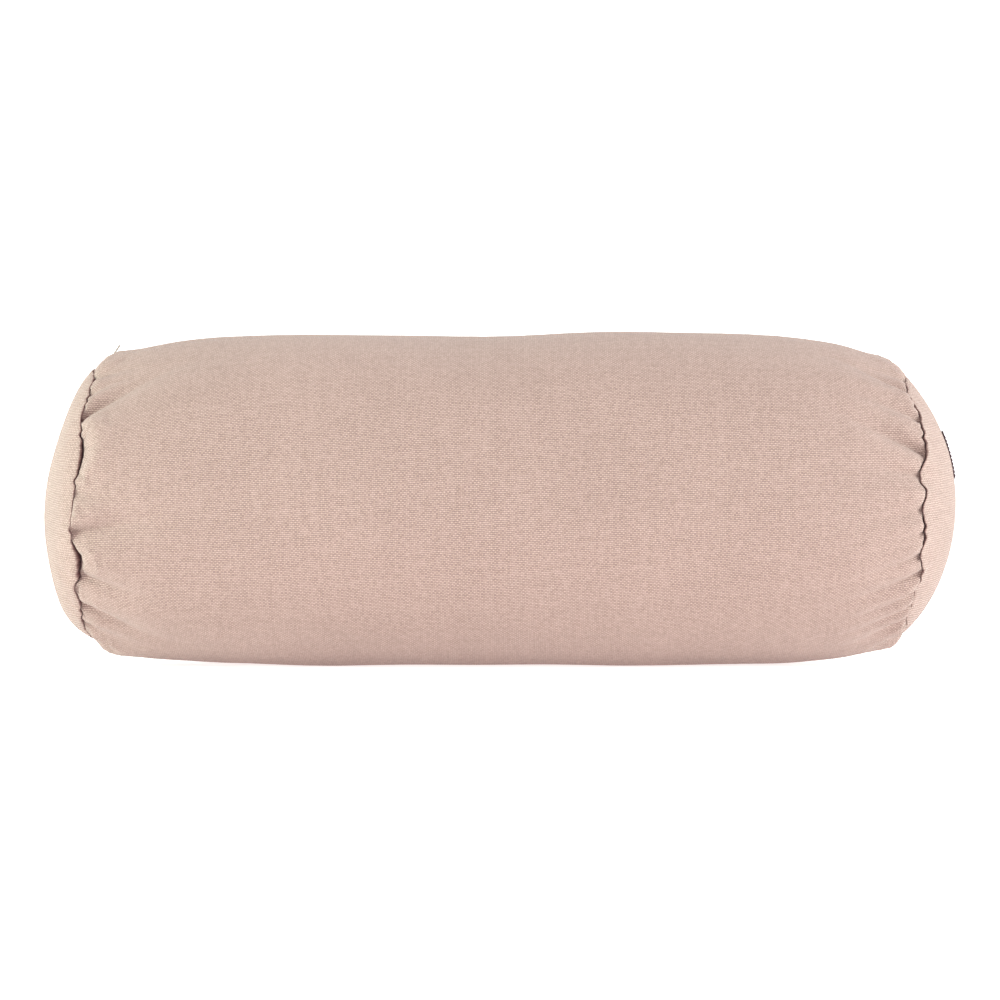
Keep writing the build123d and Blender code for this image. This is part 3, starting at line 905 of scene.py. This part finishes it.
def pad_end(side, name):
    angle = np.linspace(0, 2 * np.pi, PAD_COLUMNS, endpoint=False)
    r = np.linspace(0.5 * mm, PAD_SEAM_RADIUS, 26)
    x = DOME_CENTRE + np.sqrt((DOME_RADIUS - PAD_INSET) ** 2 - r**2)
    x -= PAD_RIM_DROP * np.exp((r - PAD_SEAM_RADIUS) / PAD_RIM_REACH)
    x = x[:, None] + small_tucks(angle[None], (PAD_SEAM_RADIUS - r)[:, None])
    points = round_axis(side * x, r[:, None], np.degrees(angle)[None])
    points = sink(points, rim_dip(side, np.degrees(angle))[None] * r[:, None] / PAD_SEAM_RADIUS)
    faces, flat = round_faces(points, side)
    return thicken(new_object(name, points, faces, flat[:, 1:]), PAD_CLOTH)


def closing_stitches():
    low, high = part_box("pad_closing_stitches")
    x = np.linspace(low.x, high.x, 120)
    across = np.full(120, 30.25 * mm)
    out = np.minimum(ZIP_FACE - PAD_INSET + 0.3 * mm, np.sqrt(section_radius(x, PAD_INSET) ** 2 - across**2))
    line = zip_point(x, across, out)
    return stitches("pad_closing_hand_stitches", line, ZIP_OUT, 0.4 * mm, pitch=6 * mm, length=3.6 * mm)


def fibre_filling():
    """The stuffing: a lumpy roll with rounded ends."""
    body = inset_section(FILLING_INSET, PAD_SEAM_RADIUS - 3 * mm)[::8]
    cap = np.linspace(body[-1, 1], 0.5 * mm, 18)[1:]
    tip = DOME_CENTRE + np.sqrt((DOME_RADIUS - FILLING_INSET) ** 2 - cap**2)
    half = np.vstack([body, np.stack([tip, cap], -1)])
    x, r = both_halves(half)
    turn = np.linspace(0, 2 * np.pi, PAD_COLUMNS, endpoint=False)
    lumps = np.sin(5 * turn[None] + 40 * x[:, None]) + np.sin(9 * turn[None] - 75 * x[:, None] + 1)
    lumps = lumps + np.sin(17 * turn[None] + 120 * x[:, None] + 2)
    shrink = np.minimum(1, r / (20 * mm))[:, None]
    from_seam = (SEAM_X - np.abs(x))[:, None]
    radius = r[:, None] - (pressed(from_seam) + LUMP * (3 + lumps)) * shrink
    points = round_axis(x[:, None], radius, np.degrees(turn)[None])
    depth = broad_shape(x[:, None], from_seam, np.degrees(turn)[None])
    points = settle(sink(points, depth * shrink), FILLING_INSET)
    faces, _ = grid_faces(len(x), PAD_COLUMNS, closed=True)
    return close_ends(new_object("fibre_filling_roll", points, faces), PAD_COLUMNS)


# --- materials ---
GRAIN_SKEW = 0.06  # how far the weft leans from square
SWAY = 0.9  # how far threads wander, in pitches
MOTTLE = 0.12  # of broad patches of tone
UNEVEN = 0.035  # from thread to thread
SLUB = 0.21  # from crossing to crossing
GROOVE_SHADE_COLOUR = (0.12, 0.024, 0.028)  # painted shade: the dark red of canvas down in a seam, where only light off more canvas falls


class Shader:
    """Short calls for the nodes of one material."""

    def __init__(self, name, roughness, sheen=0.0, specular=0.3):
        self.material = bpy.data.materials.new(name)
        self.material.use_nodes = True
        self.tree = self.material.node_tree
        self.surface = self.tree.nodes["Principled BSDF"]
        self.surface.inputs["Roughness"].default_value = roughness
        self.surface.inputs["Specular IOR Level"].default_value = specular
        self.surface.inputs["Sheen Weight"].default_value = sheen
        self.surface.inputs["Sheen Roughness"].default_value = 0.45

    def node(self, kind, inputs=(), **settings):
        made = self.tree.nodes.new(kind)
        for key, value in settings.items():
            setattr(made, key, value)
        for key, value in dict(inputs).items():
            if isinstance(value, bpy.types.NodeSocket):
                self.tree.links.new(value, made.inputs[key])
            else:
                made.inputs[key].default_value = value
        return made

    def math(self, operation, *values):
        return self.node("ShaderNodeMath", enumerate(values), operation=operation).outputs[0]

    def mix(self, factor, a, b):
        return self.node("ShaderNodeMix", {0: factor, 6: a, 7: b}, data_type="RGBA").outputs[2]

    def noise(self, vector, scale, detail=2.0):
        made = self.node("ShaderNodeTexNoise", {"Vector": vector, "Scale": scale, "Detail": detail})
        return made.outputs["Fac"]

    def paint(self, colour, bump=None, depth=0.1 * mm, strength=1.0):
        self.tree.links.new(colour, self.surface.inputs["Base Color"])
        if bump is not None:
            inputs = {"Height": bump, "Distance": depth, "Strength": strength}
            raised = self.node("ShaderNodeBump", inputs)
            self.tree.links.new(raised.outputs[0], self.surface.inputs["Normal"])
        return self.material


def weave(name, light, dark, pitch, depth=0.34 * mm):
    """Plain-woven cloth. The weft stands prouder than the warp, and no two threads are quite alike."""
    s = Shader(name, roughness=0.9, sheen=0.15, specular=0.2)
    cloth = s.node("ShaderNodeUVMap", uv_map="cloth").outputs[0]
    place = s.node("ShaderNodeTexCoord").outputs["Object"]
    parts = s.node("ShaderNodeSeparateXYZ", {0: cloth}).outputs
    sway = s.math("MULTIPLY_ADD", s.noise(cloth, 160.0), SWAY, -0.5 * SWAY)
    skewed = s.math("MULTIPLY_ADD", parts[0], GRAIN_SKEW, parts[1])
    warp_at = s.math("ADD", s.math("DIVIDE", parts[0], pitch), sway)
    weft_at = s.math("ADD", s.math("DIVIDE", skewed, pitch), sway)
    across_warp = s.math("SINE", s.math("MULTIPLY", warp_at, math.pi))
    across_weft = s.math("SINE", s.math("MULTIPLY", weft_at, math.pi))
    over = s.math("MULTIPLY", across_warp, across_weft)
    round_warp, round_weft = (
        s.math("POWER", s.math("ABSOLUTE", across), 0.6) for across in (across_warp, across_weft)
    )
    warp = s.math("MULTIPLY", round_warp, s.math("MULTIPLY_ADD", over, 0.5, 0.42))
    weft = s.math("MULTIPLY", round_weft, s.math("MULTIPLY_ADD", over, -0.3, 0.7))
    height = s.math("MAXIMUM", warp, weft)
    # Painted light and shade of the weave's relief: thread crowns lighter, the gaps between threads darker,
    # and weft floats lighter than warp floats.
    rows = s.math("MULTIPLY", across_weft, across_weft)
    columns = s.math("MULTIPLY", across_warp, across_warp)
    lit = s.math("MULTIPLY_ADD", rows, 0.52, s.math("MULTIPLY_ADD", columns, 0.16, 0.18))
    lit = s.math("MULTIPLY_ADD", over, -0.19, lit)
    tone = s.math("MULTIPLY_ADD", s.noise(place, 14.0, 4.0), MOTTLE, -0.5 * MOTTLE)
    numbers = [s.math("FLOOR", thread) for thread in (warp_at, weft_at)]
    for number in numbers:
        own = s.node("ShaderNodeTexWhiteNoise", {"W": number}, noise_dimensions="1D").outputs["Value"]
        tone = s.math("ADD", tone, s.math("MULTIPLY_ADD", own, UNEVEN, -0.5 * UNEVEN))
    cell = s.node("ShaderNodeCombineXYZ", enumerate(numbers)).outputs[0]
    grain = s.node("ShaderNodeTexWhiteNoise", {"Vector": cell}, noise_dimensions="2D").outputs["Value"]
    slub = s.math("MULTIPLY_ADD", grain, SLUB, -0.5 * SLUB)
    # shade holds this painted relief light together with the threads' own tone and slubs.
    shade = s.math("ADD", lit, s.math("ADD", tone, slub))
    colour = s.mix(s.node("ShaderNodeClamp", {0: shade}).outputs[0], (*dark, 1), (*light, 1))
    # Painted shade down in the seams, as far as the points' groove numbers say.
    groove = s.node("ShaderNodeAttribute", attribute_name="groove").outputs["Fac"]
    colour = s.mix(groove, colour, (*GROOVE_SHADE_COLOUR, 1))
    return s.paint(colour, height, depth)


def clouded(name, colour, scale, detail, shades, depth=0.0, strength=1.0, metallic=0.0, **surface):
    """A material with one noise in its colour, between two shades of it, and in its relief."""
    s = Shader(name, **surface)
    s.surface.inputs["Metallic"].default_value = metallic
    cloud = s.noise(s.node("ShaderNodeTexCoord").outputs["Object"], scale, detail)
    dark, light = ((*[min(1, share * c) for c in colour], 1) for share in shades)
    return s.paint(s.mix(cloud, dark, light), cloud if depth else None, depth, strength)


def thread_material(name, colour):
    look = {"roughness": 0.65, "sheen": 0.2, "specular": 0.4}
    return clouded(name, colour, 1500, 1, (0.72, 1.15), 0.08 * mm, **look)


def nylon_material(name, colour):
    return clouded(name, colour, 240, 2, (0.85, 1), roughness=0.38, specular=0.5)


def metal_material(name, colour):
    relief = {"depth": 0.02 * mm, "strength": 0.5}
    return clouded(name, colour, 700, 6, (0.8, 1.1), metallic=1.0, roughness=0.32, specular=0.5, **relief)


def fibre_material(name, colour):
    return clouded(name, colour, 260, 8, (0.78, 1), 1.5 * mm, roughness=1.0, sheen=0.5, specular=0.1)


# The light and dark ends of each weave's colour: between them lie painted light and shade of the threads'
# relief and the threads' own tone.
CANVAS_LIGHT = (0.555, 0.387, 0.348)
CANVAS_DARK = (0.155, 0.092, 0.079)
TAPE_LIGHT = (0.54, 0.372, 0.332)
TAPE_DARK = (0.24, 0.145, 0.125)
LABEL_LIGHT = (0.105, 0.036, 0.060)
LABEL_DARK = (0.035, 0.012, 0.020)
materials = {
    "cover_canvas": weave("canvas", CANVAS_LIGHT, CANVAS_DARK, 1.18 * mm),
    "sewing_thread": thread_material("sewing thread", (0.62, 0.45, 0.37)),
    "zip_tape": weave("tape twill", TAPE_LIGHT, TAPE_DARK, 0.5 * mm, depth=0.08 * mm),
    "nylon_coil": nylon_material("nylon", (0.50, 0.345, 0.305)),
    "zip_metal": metal_material("lacquered zinc", (0.62, 0.53, 0.45)),
    "label_satin": weave("label satin", LABEL_LIGHT, LABEL_DARK, 0.35 * mm, depth=0.05 * mm),
    "care_label_tape": weave("care satin", (0.85, 0.84, 0.81), (0.6, 0.59, 0.56), 0.4 * mm, depth=0.05 * mm),
    "pad_calico": weave("calico", (0.82, 0.78, 0.68), (0.5, 0.46, 0.38), 0.7 * mm, depth=0.1 * mm),
    "pad_thread": thread_material("pad thread", (0.86, 0.85, 0.81)),
    "polyester_fibre": fibre_material("polyester fibre", (0.9, 0.9, 0.89)),
}
tail_thread = thread_material("tail thread", (0.36, 0.27, 0.22))
label_thread = thread_material("label thread", (0.09, 0.03, 0.05))


def wear(obj, slot, material=None):
    obj.data.materials.clear()
    obj.data.materials.append(material or materials[slot])
    return obj


# --- putting it together ---
def place(obj, slot, *nodes, material=None):
    """Puts a piece on the pillow in the place of its CAD nodes."""
    wear(obj, slot, material)
    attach(obj, "pillow")
    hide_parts(*nodes)
    return obj


barrel, long_lines = cover_barrel()
place(barrel, "cover_canvas", "cover_barrel_panel")
left_end = place(cover_end(-1, "cover_end_disc_left"), "cover_canvas", "cover_end_left")
right_end = place(cover_end(1, "cover_end_disc_right"), "cover_canvas", "cover_end_right")
for side, name in ((-1, "upper"), (1, "lower")):
    hem = wear(zip_hem(f"cover_zip_hem_{name}", side), "cover_canvas")
    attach(hem, "pillow")
    place(zip_tape(f"zip_tape_{name}", f"tape_{name}"), "zip_tape", f"zip_tape_{name}")
    place(zip_coil(f"zip_coil_{name}", f"coil_{name}", side), "nylon_coil", f"zip_coil_{name}")
    row = zip_stitch_row(f"zip_stitch_row_{name}", f"zip_stitches_{name}")
    place(row, "sewing_thread", f"zip_stitch_row_{name}")
for side, end in ((-1, "left"), (1, "right")):
    place(zip_bartack(f"zip_bartack_{end}", f"bartack_{end}"), "sewing_thread", f"zip_bartack_{end}")
    place(seam_ring(side, f"end_seam_stitches_{end}"), "sewing_thread", f"end_seam_thread_{end}")
    place(cover_overlock(side, f"overlock_{end}"), "sewing_thread", f"overlock_edge_{end}")
    place(pad_overlock(side, f"pad_overlock_{end}"), "pad_thread", f"pad_seam_{end}")
place(long_seam(long_lines), "sewing_thread", "long_seam_thread")
place(thread_tail(), "sewing_thread", "seam_thread_tail", material=tail_thread)
label, label_cut = woven_label()
place(label, "label_satin", "woven_label")
place(label_stitches(), "sewing_thread", "label_stitching", material=label_thread)
care, care_cut = care_label()
place(care, "care_label_tape", "care_label")
pad = place(pad_barrel(), "pad_calico", "pad_barrel_panel")
pad_left = place(pad_end(-1, "pad_end_disc_left"), "pad_calico", "pad_end_left")
pad_right = place(pad_end(1, "pad_end_disc_right"), "pad_calico", "pad_end_right")
place(closing_stitches(), "pad_thread", "pad_closing_stitches")
filling = place(fibre_filling(), "polyester_fibre", "fibre_filling")
for node in ("zip_slider_body", "zip_pull_tab", "zip_top_stops", "zip_bottom_stop"):
    wear(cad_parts[node], "zip_metal")

# --- floor, light and camera ---
CAMERA_DISTANCE = 2.0
PHOTO_SPAN = 0.6 / 0.907  # metres across the picture at the roll's axis
SENSOR = 36.0
PAPER_GLOW = 0.7
WORLD_COLOUR = (1, 0.955, 0.95, 1)
WORLD_STRENGTH = 0.38
LEFT_COLOUR = (0.77, 1.0, 0.86)
RIGHT_COLOUR = (0.85, 1.0, 0.94)
TOP_COLOUR = (1.0, 0.88, 0.86)
WHITE = (1, 1, 1)


def studio():
    """A pale floor that curves up into a backdrop, so that no horizon shows."""
    s = Shader("studio paper", roughness=1.0, specular=0)
    s.surface.inputs["Base Color"].default_value = (0.9, 0.9, 0.9, 1)
    s.surface.inputs["Emission Color"].default_value = (1, 1, 1, 1)
    s.surface.inputs["Emission Strength"].default_value = PAPER_GLOW
    half, depth, bend = 4.0, 2.0, 1.0
    turn = np.radians(np.linspace(0, 90, 13))
    curve = [(depth + bend * math.sin(t), bend * (1 - math.cos(t))) for t in turn]
    line = [(-half, 0.0), *curve, (depth + bend, half)]
    points = np.array([[(x, y, z - 0.1 * mm) for x in (-half, half)] for y, z in line])
    faces, _ = grid_faces(len(line), 2)
    floor = new_object("floor", points, faces)
    floor.data.materials.append(s.material)


def softbox(name, place_at, aim, width, height, power, colour):
    light = bpy.data.lights.new(name, "AREA")
    light.shape = "RECTANGLE"
    light.size, light.size_y = width, height
    light.energy = power
    light.color = colour
    obj = bpy.data.objects.new(name, light)
    bpy.context.scene.collection.objects.link(obj)
    obj.location = place_at
    obj.rotation_mode = "QUATERNION"
    obj.rotation_quaternion = (Vector(place_at) - Vector(aim)).to_track_quat("Z", "Y")


def camera():
    lens = bpy.data.cameras.new("camera")
    lens.sensor_width = SENSOR
    lens.lens = SENSOR * CAMERA_DISTANCE / PHOTO_SPAN
    obj = bpy.data.objects.new("camera", lens)
    bpy.context.scene.collection.objects.link(obj)
    obj.location = (0, -CAMERA_DISTANCE, AXIS_Z)
    obj.rotation_euler = (math.pi / 2, 0, 0)
    bpy.context.scene.camera = obj


def room():
    """Even light from all round."""
    world = bpy.data.worlds.new("pale room")
    bpy.context.scene.world = world
    world.use_nodes = True
    light = world.node_tree.nodes["Background"]
    light.inputs["Color"].default_value = WORLD_COLOUR
    light.inputs["Strength"].default_value = WORLD_STRENGTH


studio()
softbox("left box", (-1.5, -0.45, 0.5), (-0.2, 0, 0.1), 1.2, 1.2, 34, LEFT_COLOUR)
softbox("right box", (1.5, -0.45, 0.5), (0.2, 0, 0.1), 1.2, 1.2, 34, RIGHT_COLOUR)
softbox("top box", (0, 0.2, 2.1), (0, 0, 0.1), 2.0, 1.0, 14, TOP_COLOUR)
softbox("front box", (-0.3, -1.9, 1.7), (0, 0, 0.1), 1.4, 0.8, 21, WHITE)
room()
bpy.context.scene.view_settings.view_transform = "Standard"
camera()

bpy.context.view_layer.update()
